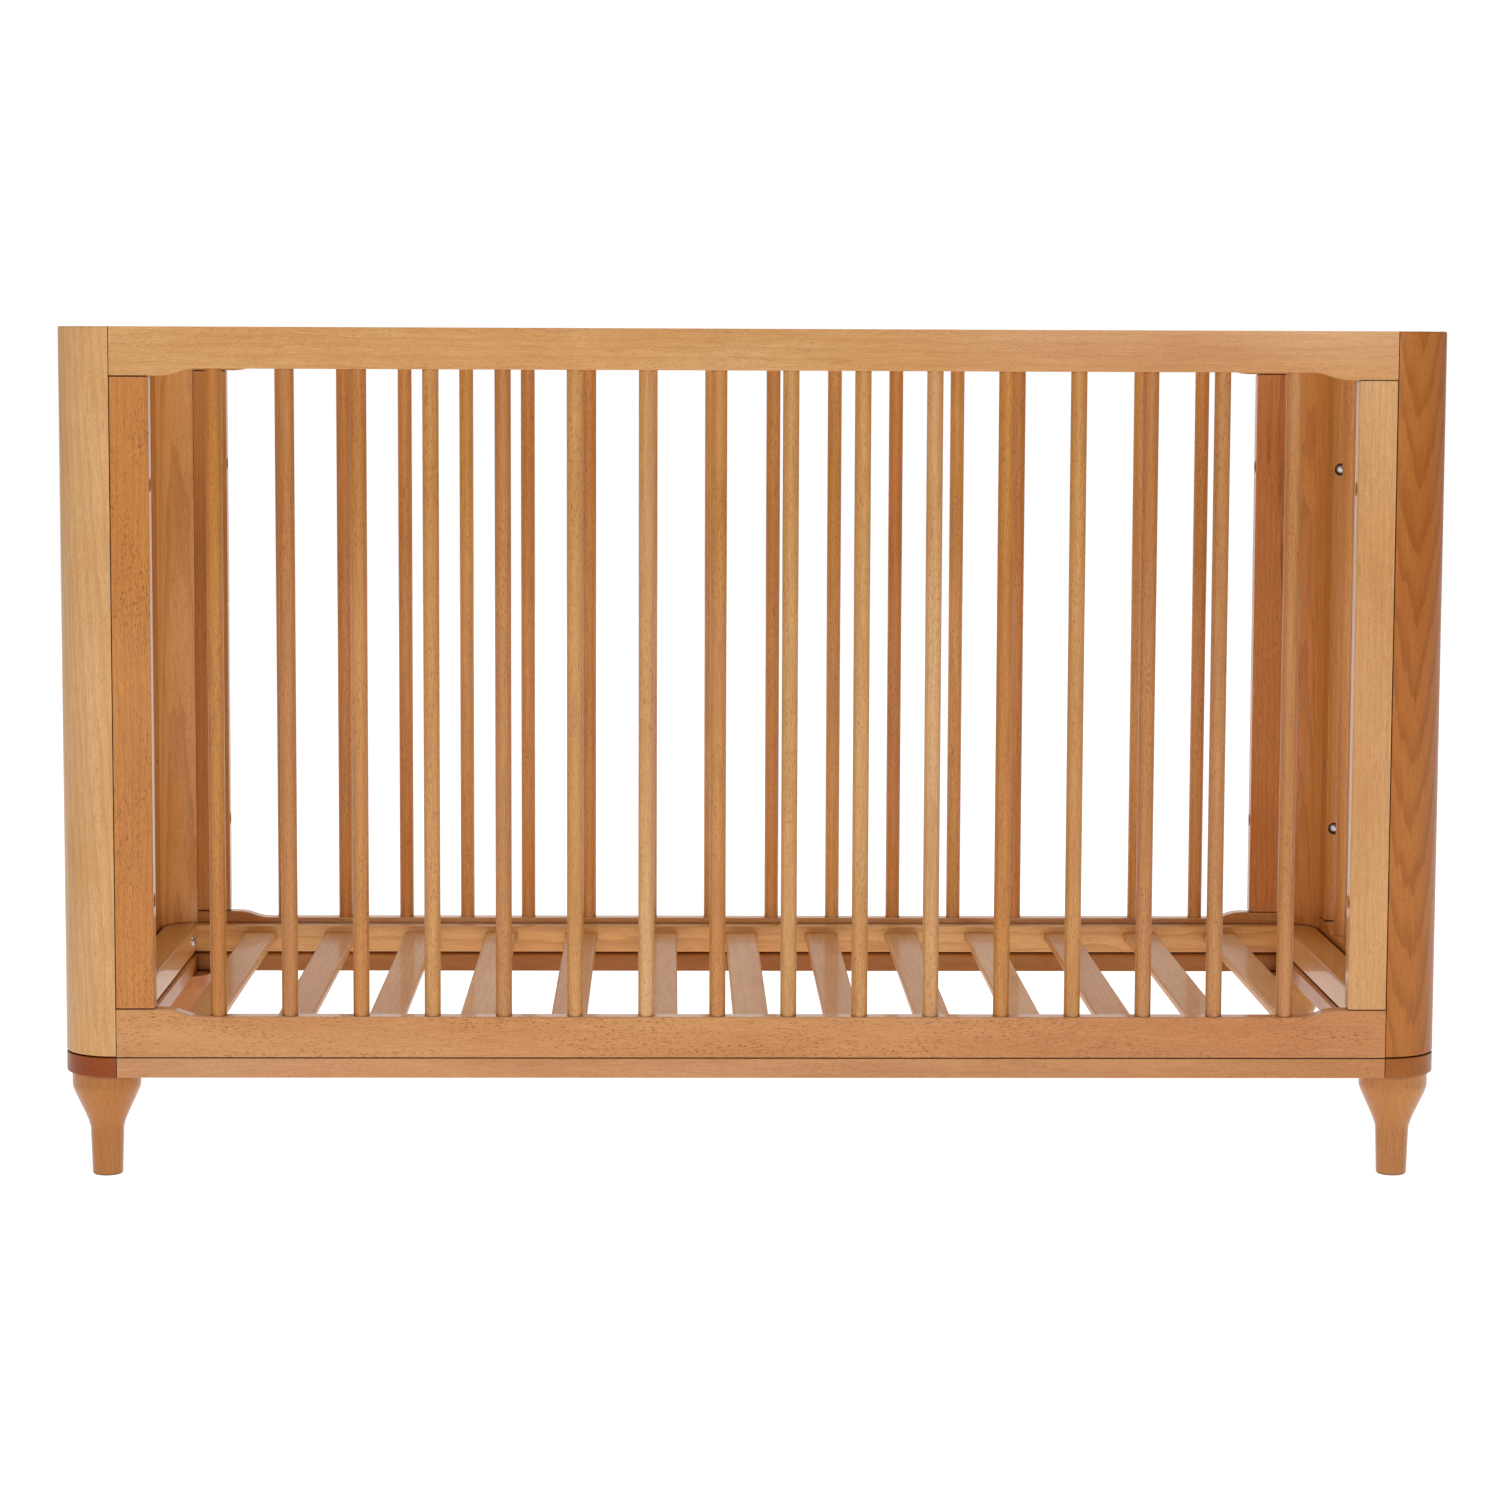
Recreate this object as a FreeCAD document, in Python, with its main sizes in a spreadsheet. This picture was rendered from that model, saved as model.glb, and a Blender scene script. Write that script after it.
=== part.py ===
import FreeCAD, Part
import math
import os
import re
import Sketcher

# A baby crib of beech: four spindled panels bolted to quarter-round corner posts, a plinth on
# turned feet, and a slatted mattress base that is bolted between the panels at one of two heights.
# Millimetres. X runs along the crib, -Y is its front, +Z is up, and the origin is on the floor
# under the middle.

Vector = FreeCAD.Vector
UP = Vector(0, 0, 1)
XY, XZ, YZ = "XY_Plane", "XZ_Plane", "YZ_Plane"

# Driving dimensions.
SIZES = {
    # what the crib is built around
    "mattress_length": 1400,
    "mattress_width": 700,
    "mattress_play": 10,
    "overall_height": 892,
    "board": 20,
    "post_radius": 60,
    # panels
    "stile_width": 40,
    "rail_height": 43,
    "shoulder_rise": 7.5,
    "shoulder_run": 10,
    "shoulder_curve": 38,
    "spindle_diameter": 17,
    "long_count": 16,
    "short_count": 7,
    "tenon_length": 14,
    "spindle_tenon": 11,
    "stile_tenon_width": 24,
    "stile_tenon_thickness": 10,
    # plinth and feet
    "foot_height": 110,
    "plinth_height": 22,
    "long_plinth_width": 28,
    "end_plinth_width": 60,
    "plinth_rebate": 1,
    "rebate_depth": 5,
    "foot_inset": 43.5,
    "foot_top_radius": 36,
    "foot_rim": 13,
    "foot_neck_radius": 17.5,
    "foot_neck_height": 49,
    "foot_end_radius": 16,
    "foot_end_round": 2.5,
    # mattress base
    "base_gap": 1.5,
    "base_height": 32,
    "base_bottom": 136,
    "base_end_width": 38.5,
    "base_corner": 35.5,
    "base_tenon_length": 15,
    "base_tenon_height": 20,
    "slat_count": 13,
    "slat_width": 38,
    "slat_thickness": 10,
    "slat_drop": 8.7,
    "slat_seat": 8,
    # rounding of edges
    "edge_round": 1.5,
    "joint_round": 0.8,
    "post_round": 2,
    "plinth_round": 1.2,
    "plinth_inner_round": 4,
    "slat_round": 2.5,
    # the shadow line that shows at each joint
    "reveal": 0.8,
    "reveal_depth": 4,
    # hardware
    "bolt_diameter": 6,
    "head_diameter": 13,
    "head_height": 4,
    "socket_width": 4,
    "socket_depth": 2.4,
    "counterbore": 15,
    "counterbore_depth": 6,
    "insert_diameter": 9,
    "insert_length": 15,
    "lower_bolts": 296,
    "upper_bolts": 729,
    "base_bolt_offset": 295,
    "base_bolt_drop": 14,
    "upper_base_bolts": 372,
    "stud_diameter": 8,
    "stud_in_foot": 35,
    "stud_in_block": 20,
    "dowel_diameter": 8,
    "dowel_length": 30,
    "dowel_inset": 8,
    "dowel_spacing": 12,
    "screw_diameter": 4.5,
    "screw_head": 9,
    "screw_length": 45,
    "fit": 0.05,
    "sink": 0.3,
}

# Dimensions worked out from them.
DERIVED = {
    "overall_length": "mattress_length + mattress_play + 2 * board",
    "overall_width": "mattress_width + mattress_play + 2 * board",
    "long_panel": "overall_length - 2 * post_radius",
    "short_panel": "overall_width - 2 * post_radius",
    "long_pitch": "(long_panel - 2 * stile_width + spindle_diameter) / (long_count + 1)",
    "short_pitch": "(short_panel - 2 * stile_width + spindle_diameter) / (short_count + 1)",
    "long_offset": "(overall_width - board) / 2",
    "short_offset": "(overall_length - board) / 2",
    "panel_bottom": "foot_height + plinth_height",
    "panel_height": "overall_height - panel_bottom",
    "shoulder_height": "rail_height + shoulder_rise",
    "stile_length": "panel_height - 2 * shoulder_height",
    "spindle_length": "panel_height - 2 * rail_height",
    "bolt_hole": "bolt_diameter + 2 * fit",
    "insert_hole": "insert_diameter + 2 * fit",
    "post_middle": "post_radius - board / 2",
    "base_bolt_height": "base_bottom + base_height - base_bolt_drop",
    "base_width": "overall_width - 2 * board - 2 * base_gap",
    "base_rail_offset": "(base_width - board) / 2",
    "slat_length": "base_width - 2 * board + 2 * slat_seat",
    "slat_pitch": "(long_panel + slat_width) / (slat_count + 1)",
    "slat_level": "base_bottom + base_height - slat_drop - slat_thickness / 2",
    "screw_depth": "screw_length - plinth_height",
}

doc = FreeCAD.newDocument("BabyCrib")
sheet = doc.addObject("Spreadsheet::Sheet", "Sizes")


def with_sheet(expression):
    """The expression with each name of the sheet written as a reference to it."""
    names = {**SIZES, **DERIVED}

    def reference(word):
        return f"Sizes.{word.group()}" if word.group() in names else word.group()

    return re.sub(r"[a-z_]+", reference, str(expression))


def fill_sheet():
    """One row for each dimension: its name, and its value under that alias."""
    rows = [(name, str(number)) for name, number in SIZES.items()]
    rows += [(name, "=" + formula) for name, formula in DERIVED.items()]
    for row, (name, content) in enumerate(rows, start=1):
        sheet.set(f"A{row}", name)
        sheet.set(f"B{row}", content)
        sheet.setAlias(f"B{row}", name)
    doc.recompute()


def value(expression):
    """The number that an expression of sheet names stands for."""
    return float(sheet.evalExpression(with_sheet(expression)))


# ---------------------------------------------------------------- bodies, sketches and features


def new_body(label):
    body = doc.addObject("PartDesign::Body", label)
    body.Label = label
    return body


def origin_plane(body, role):
    return next(plane for plane in body.Origin.OriginFeatures if plane.Role == role)


def new_sketch(body, name, role, centre=(0, 0, 0)):
    """A sketch parallel to an origin plane; centre is in the plane's own x, y and normal."""
    sketch = body.newObject("Sketcher::SketchObject", name)
    sketch.AttachmentSupport = [(origin_plane(body, role), "")]
    sketch.MapMode = "FlatFace"
    for axis, expression in zip("xyz", centre):
        sketch.setExpression(f".AttachmentOffset.Base.{axis}", with_sheet(expression))
    return sketch


def dimension(sketch, kind, geometry, expression):
    index = sketch.addConstraint(Sketcher.Constraint(kind, *geometry, value(expression)))
    sketch.setExpression(f"Constraints[{index}]", with_sheet(expression))


def draw_circle(sketch, diameter):
    """A circle about the sketch's origin."""
    sketch.addGeometry(Part.Circle(Vector(0, 0, 0), UP, value(diameter) / 2))
    sketch.addConstraint(Sketcher.Constraint("Coincident", 0, 3, -1, 1))
    dimension(sketch, "Diameter", (0,), diameter)


def draw_rectangle(sketch, width, height):
    """A rectangle about the sketch's origin."""
    half_width = value(width) / 2
    half_height = value(height) / 2
    corners = [Vector(x * half_width, y * half_height, 0) for x, y in ((-1, -1), (1, -1), (1, 1), (-1, 1))]
    for side in range(4):
        sketch.addGeometry(Part.LineSegment(corners[side], corners[(side + 1) % 4]))
    for side in range(4):
        sketch.addConstraint(Sketcher.Constraint("Coincident", side, 2, (side + 1) % 4, 1))
        sketch.addConstraint(Sketcher.Constraint("Vertical" if side % 2 else "Horizontal", side))
    sketch.addConstraint(Sketcher.Constraint("Symmetric", 0, 1, 1, 2, -1, 1))
    dimension(sketch, "DistanceX", (0, 1, 0, 2), width)
    dimension(sketch, "DistanceY", (1, 1, 1, 2), height)


def add_pad(body, sketch, length, symmetric=False, reverse=False):
    pad = body.newObject("PartDesign::Pad", "Pad")
    pad.Profile = sketch
    pad.SideType = "Symmetric" if symmetric else "One side"
    pad.Reversed = reverse
    pad.setExpression("Length", with_sheet(length))
    doc.recompute()
    return pad


def add_pocket(body, sketch, length, symmetric=False, reverse=False):
    pocket = body.newObject("PartDesign::Pocket", "Pocket")
    pocket.Profile = sketch
    pocket.SideType = "Symmetric" if symmetric else "One side"
    pocket.Reversed = reverse
    pocket.setExpression("Length", with_sheet(length))
    return pocket


def add_row(body, feature, axis, count, span):
    """Repeats a feature along its sketch's H_Axis or V_Axis, away from where it is drawn."""
    pattern = body.newObject("PartDesign::LinearPattern", "Row")
    pattern.Originals = [feature]
    pattern.Direction = (feature.Profile[0], [axis])
    pattern.setExpression("Length", with_sheet(span))
    pattern.setExpression("Occurrences", with_sheet(count))
    body.Tip = pattern


def round_edges(body, radius, wanted):
    """Rounds the edges of the body so far that the test picks."""
    doc.recompute()
    base = body.Tip
    names = [f"Edge{number}" for number, edge in enumerate(base.Shape.Edges, start=1) if wanted(edge)]
    fillet = body.newObject("PartDesign::Fillet", "Rounding")
    fillet.Base = (base, names)
    fillet.setExpression("Radius", with_sheet(radius))
    doc.recompute()


def revolve(body, outline):
    """A full turn of an outline in the XZ plane about the vertical axis."""
    sketch = new_sketch(body, "Outline", XZ)
    for piece in outline:
        sketch.addGeometry(piece)
    for number in range(len(outline)):
        sketch.addConstraint(Sketcher.Constraint("Block", number))
    feature = body.newObject("PartDesign::Revolution", "Turning")
    feature.Profile = sketch
    feature.ReferenceAxis = (sketch, ["V_Axis"])
    feature.Angle = 360
    return feature


def polyline(points):
    """Line segments through (radius, height) points, closed back to the first."""
    corners = [Vector(x, y, 0) for x, y in points]
    return [Part.LineSegment(start, end) for start, end in zip(corners, corners[1:] + corners[:1])]


def flat_at(edge, axis, distance):
    """Whether the whole edge lies at plus or minus a distance from the middle along an axis."""
    box = edge.BoundBox
    low = abs(getattr(box, axis + "Min"))
    high = abs(getattr(box, axis + "Max"))
    return max(abs(low - distance), abs(high - distance)) < 1e-4


def is_curved(edge):
    return edge.Curve.TypeId == "Part::GeomCircle"


def place(body, x, y, z, turn=0):
    body.Placement = FreeCAD.Placement(Vector(x, y, z), FreeCAD.Rotation(UP, turn))


# ---------------------------------------------------------------- panels
# A panel is modelled along X with its outer face towards -Y, then turned to its side of the crib.


def shouldered_outline(sketch, length):
    """A rail from the side: straight along z = 0, and deeper by a smooth shoulder at each end."""
    half = value(length) / 2
    middle = value("rail_height")
    ends = value("shoulder_height")
    curve_start = half - value("stile_width + shoulder_run")
    curve = value("shoulder_curve")
    curve_end = curve_start - curve
    rise = ends - middle
    radius = (curve ** 2 + rise ** 2) / (4 * rise)
    sweep = math.asin(curve / 2 / radius)
    quarter = math.pi / 2

    def line(x_start, z_start, x_end, z_end):
        sketch.addGeometry(Part.LineSegment(Vector(x_start, z_start, 0), Vector(x_end, z_end, 0)))

    def arc(x, z, start, end):
        sketch.addGeometry(Part.ArcOfCircle(Part.Circle(Vector(x, z, 0), UP, radius), start, end))

    line(-half, 0, half, 0)
    line(half, 0, half, ends)
    line(half, ends, curve_start, ends)
    arc(curve_start, ends - radius, quarter, quarter + sweep)
    arc(curve_end, middle + radius, 3 * quarter, 3 * quarter + sweep)
    line(curve_end, middle, -curve_end, middle)
    arc(-curve_end, middle + radius, 3 * quarter - sweep, 3 * quarter)
    arc(-curve_start, ends - radius, quarter - sweep, quarter)
    line(-curve_start, ends, -half, ends)
    line(-half, ends, -half, 0)
    bottom, right, right_top, right_round, right_hollow = range(5)
    straight, left_hollow, left_round, left_top, left = range(5, 10)
    constrain = [
        ("Coincident", bottom, 2, right, 1),
        ("Coincident", right, 2, right_top, 1),
        ("Tangent", right_top, 2, right_round, 1),
        ("Tangent", right_round, 2, right_hollow, 2),
        ("Tangent", right_hollow, 1, straight, 1),
        ("Tangent", straight, 2, left_hollow, 2),
        ("Coincident", left_hollow, 1, left_round, 1),
        ("Tangent", left_round, 2, left_top, 1),
        ("Coincident", left_top, 2, left, 1),
        ("Coincident", left, 2, bottom, 1),
        ("Equal", right_round, right_hollow),
        ("Horizontal", right_top),
        ("Vertical", right),
        ("PointOnObject", bottom, 1, -1),
        ("Symmetric", bottom, 1, bottom, 2, -2),
        ("Symmetric", right_top, 1, left_top, 2, -2),
        ("Symmetric", right_top, 2, left_top, 1, -2),
        ("Symmetric", straight, 1, straight, 2, -2),
        ("Symmetric", right_round, 2, left_round, 1, -2),
    ]
    for parts in constrain:
        sketch.addConstraint(Sketcher.Constraint(*parts))
    dimension(sketch, "DistanceX", (bottom, 1, bottom, 2), length)
    dimension(sketch, "DistanceY", (right, 1, right, 2), "shoulder_height")
    dimension(sketch, "DistanceY", (bottom, 2, straight, 1), "rail_height")
    dimension(sketch, "DistanceX", (right_top, 2, right_top, 1), "stile_width + shoulder_run")
    dimension(sketch, "DistanceX", (right_hollow, 1, right_round, 1), "shoulder_curve")


def panel_rail(label, length, pitch, count):
    """A rail with its straight edge at z = 0, with sockets for the spindles and the stile tenons."""
    body = new_body(label)
    outline = new_sketch(body, "Outline", XZ)
    shouldered_outline(outline, length)
    add_pad(body, outline, "board", symmetric=True)
    half = value(length) / 2
    face = value("board") / 2
    round_edges(body, "edge_round", lambda edge: flat_at(edge, "Y", face) and not flat_at(edge, "X", half))
    first = f"-({count} - 1) * {pitch} / 2"
    socket = new_sketch(body, "SpindleSocket", XY, (first, 0, "rail_height"))
    draw_circle(socket, "spindle_tenon + 2 * fit")
    add_row(body, add_pocket(body, socket, "tenon_length"), "H_Axis", count, f"({count} - 1) * {pitch}")
    mortise = new_sketch(body, "Mortise", XY, (f"-({length} - stile_width) / 2", 0, "shoulder_height"))
    draw_rectangle(mortise, "stile_tenon_width + 2 * fit", "stile_tenon_thickness + 2 * fit")
    add_row(body, add_pocket(body, mortise, "tenon_length"), "H_Axis", 2, f"{length} - stile_width")
    return body


def panel_bottom_rail(label, length, pitch, count, screw_count, screw_pitch, base_holes):
    """A bottom rail: pilot holes for the plinth's screws, and the lower inserts on an end panel."""
    body = panel_rail(label, length, pitch, count)
    pilot = new_sketch(body, "ScrewPilot", XY, (f"-({screw_count} - 1) * {screw_pitch} / 2", 0, 0))
    draw_circle(pilot, "screw_diameter + 2 * fit")
    pocket = add_pocket(body, pilot, "screw_depth", reverse=True)
    add_row(body, pocket, "H_Axis", screw_count, f"({screw_count} - 1) * {screw_pitch}")
    if base_holes:
        height = "base_bolt_height - panel_bottom"
        hole = new_sketch(body, "BaseInsertHole", XZ, ("-base_bolt_offset", height, "-board / 2"))
        draw_circle(hole, "insert_hole")
        pocket = add_pocket(body, hole, "insert_length", reverse=True)
        add_row(body, pocket, "H_Axis", 2, "2 * base_bolt_offset")
    return body


def panel_stile(label, base_side):
    """An upright with its bolt heads' edge towards +X; base_side says which face takes an insert."""
    body = new_body(label)
    section = new_sketch(body, "Section", XY, (0, 0, "reveal"))
    draw_rectangle(section, "stile_width", "board")
    add_pad(body, section, "stile_length - 2 * reveal")
    half = value("stile_width") / 2
    face = value("board") / 2

    def upright(edge, side):
        on_side = flat_at(edge, "X", half) and edge.CenterOfMass.x * side > 0
        return on_side and flat_at(edge, "Y", face)

    round_edges(body, "edge_round", lambda edge: upright(edge, 1))
    round_edges(body, "joint_round", lambda edge: upright(edge, -1))
    core = new_sketch(body, "Core", XY)
    draw_rectangle(core, "stile_width - 2 * joint_round", "board - 2 * reveal_depth")
    add_pad(body, core, "stile_length")
    tenon = new_sketch(body, "Tenons", XY, (0, 0, "-tenon_length + fit"))
    draw_rectangle(tenon, "stile_tenon_width", "stile_tenon_thickness")
    add_pad(body, tenon, "stile_length + 2 * (tenon_length - fit)")
    rise = "lower_bolts - panel_bottom - shoulder_height"
    bore = new_sketch(body, "BoltHole", YZ, (0, rise, 0))
    draw_circle(bore, "bolt_hole")
    through = add_pocket(body, bore, "stile_width + 1", symmetric=True)
    add_row(body, through, "V_Axis", 2, "upper_bolts - lower_bolts")
    sinking = new_sketch(body, "Counterbore", YZ, (0, rise, "stile_width / 2"))
    draw_circle(sinking, "counterbore")
    recess = add_pocket(body, sinking, "counterbore_depth")
    add_row(body, recess, "V_Axis", 2, "upper_bolts - lower_bolts")
    if base_side:
        height = "upper_base_bolts - panel_bottom - shoulder_height"
        hole = new_sketch(body, "BaseInsertHole", XZ, (0, height, f"-{base_side} * board / 2"))
        draw_circle(hole, "insert_hole")
        add_pocket(body, hole, "insert_length", reverse=base_side > 0)
    return body


def spindle_set(label, pitch, count):
    """The round spindles of one panel, with a tenon at each end, standing on z = 0."""
    body = new_body(label)
    radius = value("spindle_diameter") / 2
    tenon = value("spindle_tenon") / 2
    length = value("spindle_length")
    reach = value("tenon_length - fit")
    steps = [(0, -reach), (tenon, -reach), (tenon, 0), (radius, 0), (radius, length), (tenon, length),
             (tenon, length + reach), (0, length + reach)]
    turning = revolve(body, polyline(steps))
    add_row(body, turning, "H_Axis", count, f"({count} - 1) * {pitch}")
    return body


def add_panel(name, turn, offset, length, pitch, count, screws, stile_names, is_end):
    """Makes one panel's rails, stiles and spindles, and turns them to their side."""
    angle = math.radians(turn)
    out = value(offset)
    middle_x = math.sin(angle) * out
    middle_y = -math.cos(angle) * out
    bottom = value("panel_bottom")
    top = value("overall_height")

    def put(body, along, z, extra_turn=0):
        x = middle_x + math.cos(angle) * along
        y = middle_y + math.sin(angle) * along
        place(body, x, y, z, turn + extra_turn)

    put(panel_bottom_rail(f"{name}_bottom_rail", length, pitch, count, *screws, is_end), 0, bottom)
    top_rail = panel_rail(f"{name}_top_rail", length, pitch, count)
    put(top_rail, 0, top)
    over = FreeCAD.Placement(Vector(0, 0, 0), FreeCAD.Rotation(Vector(0, 1, 0), 180))
    top_rail.Placement = top_rail.Placement.multiply(over)
    stile_along = value(f"({length} - stile_width) / 2")
    stile_foot = bottom + value("shoulder_height")
    for side, stile_name in zip((-1, 1), stile_names):
        stile = panel_stile(f"{name}_stile_{stile_name}", -side if is_end else 0)
        put(stile, side * stile_along, stile_foot, 0 if side < 0 else 180)
    spindles = spindle_set(f"{name}_spindles", pitch, count)
    put(spindles, -value(f"({count} - 1) * {pitch} / 2"), bottom + value("rail_height"))


LONG_SCREWS = (4, "(4 * long_pitch)")
SHORT_SCREWS = (2, "(3 * short_pitch)")


def add_panels():
    long_side = ("long_offset", "long_panel", "long_pitch", "long_count", LONG_SCREWS)
    short_side = ("short_offset", "short_panel", "short_pitch", "short_count", SHORT_SCREWS)
    add_panel("front", 0, *long_side, ("left", "right"), False)
    add_panel("right", 90, *short_side, ("front", "back"), True)
    add_panel("back", 180, *long_side, ("right", "left"), False)
    add_panel("left", 270, *short_side, ("back", "front"), True)


# ---------------------------------------------------------------- corners, plinth and feet
# The corner pieces are modelled about the post's own centre and turned into the four corners.

CORNERS = (
    ("back_right", 0, 1, 1),
    ("back_left", 90, -1, 1),
    ("front_left", 180, -1, -1),
    ("front_right", 270, 1, -1),
)


def corner_outline(sketch, outer, inner):
    """A quarter ring about the sketch's origin, or a quarter disc where the inner radius is none."""
    big = value(outer)
    small = value(inner) if inner else 0
    sketch.addGeometry(Part.LineSegment(Vector(small, 0, 0), Vector(big, 0, 0)))
    sketch.addGeometry(Part.ArcOfCircle(Part.Circle(Vector(0, 0, 0), UP, big), 0, math.pi / 2))
    sketch.addGeometry(Part.LineSegment(Vector(0, big, 0), Vector(0, small, 0)))
    constrain = [
        ("Coincident", 0, 2, 1, 1),
        ("Coincident", 1, 2, 2, 1),
        ("Coincident", 1, 3, -1, 1),
        ("Horizontal", 0),
        ("Vertical", 2),
        ("PointOnObject", 0, 2, -1),
        ("PointOnObject", 2, 1, -2),
    ]
    if inner:
        sketch.addGeometry(Part.ArcOfCircle(Part.Circle(Vector(0, 0, 0), UP, small), 0, math.pi / 2))
        constrain += [("Coincident", 3, 1, 0, 1), ("Coincident", 3, 2, 2, 2), ("Coincident", 3, 3, -1, 1)]
    else:
        constrain += [("Coincident", 0, 1, 2, 2)]
    for parts in constrain:
        sketch.addConstraint(Sketcher.Constraint(*parts))
    dimension(sketch, "Radius", (1,), outer)
    if inner:
        dimension(sketch, "Radius", (3,), inner)


def cut_reveals(body, height):
    """Cuts the shadow lines along the outer edges of a corner piece's two joints."""
    for centre, width, depth in (
        (("reveal / 2", "post_radius - reveal_depth / 2", 0), "reveal", "reveal_depth"),
        (("post_radius - reveal_depth / 2", "reveal / 2", 0), "reveal_depth", "reveal"),
    ):
        line = new_sketch(body, "Reveal", XY, centre)
        draw_rectangle(line, width, depth)
        add_pocket(body, line, height, reverse=True)


def corner_post(label):
    body = new_body(label)
    section = new_sketch(body, "Section", XY)
    corner_outline(section, "post_radius", "post_radius - board")
    add_pad(body, section, "panel_height")
    height = value("panel_height")
    round_edges(body, "post_round", lambda edge: is_curved(edge) and edge.BoundBox.ZLength < 1)
    round_edges(body, "joint_round", lambda edge: edge.BoundBox.ZLength > height / 2)
    cut_reveals(body, "panel_height")
    rise = "lower_bolts - panel_bottom"
    for plane, axis_reverse in ((YZ, True), (XZ, False)):
        hole = new_sketch(body, "InsertHole", plane, ("post_middle", rise, 0))
        draw_circle(hole, "insert_hole")
        pocket = add_pocket(body, hole, "insert_length + fit", reverse=axis_reverse)
        add_row(body, pocket, "V_Axis", 2, "upper_bolts - lower_bolts")
    across = "post_middle * sqrt(0.5)"
    pilot = new_sketch(body, "ScrewPilot", XY, (across, across, 0))
    draw_circle(pilot, "screw_diameter + 2 * fit")
    add_pocket(body, pilot, "screw_depth", reverse=True)
    return body


def countersunk_hole(body, centre):
    """A clearance hole for a plinth screw, with its head's recess in the underside."""
    bore = new_sketch(body, "ScrewHole", XY, (*centre, 0))
    draw_circle(bore, "screw_diameter + 2 * fit")
    through = add_pocket(body, bore, "plinth_height", reverse=True)
    recess = new_sketch(body, "HeadRecess", XY, (*centre, 0))
    draw_circle(recess, "screw_head + 2 * fit")
    return through, add_pocket(body, recess, "screw_head / 2", reverse=True)


def plinth_corner(label):
    """The plinth's corner block, a quarter disc, bored for the foot's stud, a screw and the dowels."""
    body = new_body(label)
    section = new_sketch(body, "Section", XY)
    corner_outline(section, "post_radius", None)
    add_pad(body, section, "plinth_height - plinth_rebate")
    round_edges(body, "plinth_round", is_curved)
    seat = new_sketch(body, "Seat", XY)
    corner_outline(seat, "post_radius - rebate_depth", None)
    add_pad(body, seat, "plinth_height")
    cut_reveals(body, "plinth_height")
    stud = new_sketch(body, "StudHole", XY, ("post_radius - foot_inset", "post_radius - foot_inset", 0))
    draw_circle(stud, "stud_diameter + 2 * fit")
    add_pocket(body, stud, "stud_in_block + fit", reverse=True)
    across = "post_middle * sqrt(0.5)"
    countersunk_hole(body, (across, across))
    for plane, reverse in ((YZ, True), (XZ, False)):
        hole = new_sketch(body, "DowelHole", plane, ("post_radius - dowel_inset", "plinth_height / 2", 0))
        draw_circle(hole, "dowel_diameter + 2 * fit")
        pocket = add_pocket(body, hole, "dowel_length / 2 + fit", reverse=reverse)
        add_row(body, pocket, "H_Axis", 2, "dowel_spacing")
        body.Tip.Reversed = True
    return body


def plinth_rail(label, length, width, screw_count, screw_pitch):
    """A plinth rail along X with its outer edge at y = 0 and its inner edge towards +Y."""
    body = new_body(label)
    section = new_sketch(body, "Section", XY, (0, f"{width} / 2", 0))
    draw_rectangle(section, length, width)
    add_pad(body, section, "plinth_height - plinth_rebate")
    seat = new_sketch(body, "Seat", XY, (0, f"({width} + rebate_depth) / 2", 0))
    draw_rectangle(seat, length, f"{width} - rebate_depth")
    add_pad(body, seat, "plinth_height")
    half = value(length) / 2
    top = value("plinth_height")
    inner = value(width)

    def inner_top(edge):
        return flat_at(edge, "Y", inner) and flat_at(edge, "Z", top)

    def outer_or_under(edge):
        return edge.BoundBox.XLength > half and (flat_at(edge, "Y", 0) or flat_at(edge, "Z", 0))

    round_edges(body, "plinth_round", outer_or_under)
    round_edges(body, "plinth_inner_round", inner_top)
    through, recess = countersunk_hole(body, (f"-({screw_count} - 1) * {screw_pitch} / 2", "board / 2"))
    for pocket in (through, recess):
        add_row(body, pocket, "H_Axis", screw_count, f"({screw_count} - 1) * {screw_pitch}")
    for side in (-1, 1):
        centre = ("dowel_inset", "plinth_height / 2", f"{side} * {length} / 2")
        hole = new_sketch(body, "DowelHole", YZ, centre)
        draw_circle(hole, "dowel_diameter + 2 * fit")
        pocket = add_pocket(body, hole, "dowel_length / 2 + fit", reverse=side < 0)
        add_row(body, pocket, "H_Axis", 2, "dowel_spacing")
    return body


def foot_outline():
    """The turned foot from its axis outwards, with the stud's hole down from the top."""
    top = value("foot_height")
    wide = value("foot_top_radius")
    neck = value("foot_neck_radius")
    neck_height = value("foot_neck_height")
    end = value("foot_end_radius")
    end_round = value("foot_end_round")
    hole = value("stud_diameter / 2 + fit")
    hole_bottom = top - value("stud_in_foot")
    rim = top - value("foot_rim")
    end_circle = Part.Circle(Vector(end - end_round, end_round, 0), UP, end_round)
    swell = Part.BezierCurve()
    swell.setPoles([
        Vector(neck, neck_height, 0),
        Vector(neck + 0.3, neck_height + 11, 0),
        Vector(wide - 0.5, rim - 8, 0),
        Vector(wide, rim, 0),
    ])
    return [
        Part.LineSegment(Vector(0, 0, 0), Vector(end - end_round, 0, 0)),
        Part.ArcOfCircle(end_circle, -math.pi / 2, 0),
        Part.LineSegment(Vector(end, end_round, 0), Vector(neck, neck_height, 0)),
        swell.toBSpline(),
        Part.LineSegment(Vector(wide, rim, 0), Vector(wide, top, 0)),
        Part.LineSegment(Vector(wide, top, 0), Vector(hole, top, 0)),
        Part.LineSegment(Vector(hole, top, 0), Vector(hole, hole_bottom, 0)),
        Part.LineSegment(Vector(hole, hole_bottom, 0), Vector(0, hole_bottom, 0)),
        Part.LineSegment(Vector(0, hole_bottom, 0), Vector(0, 0, 0)),
    ]


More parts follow.
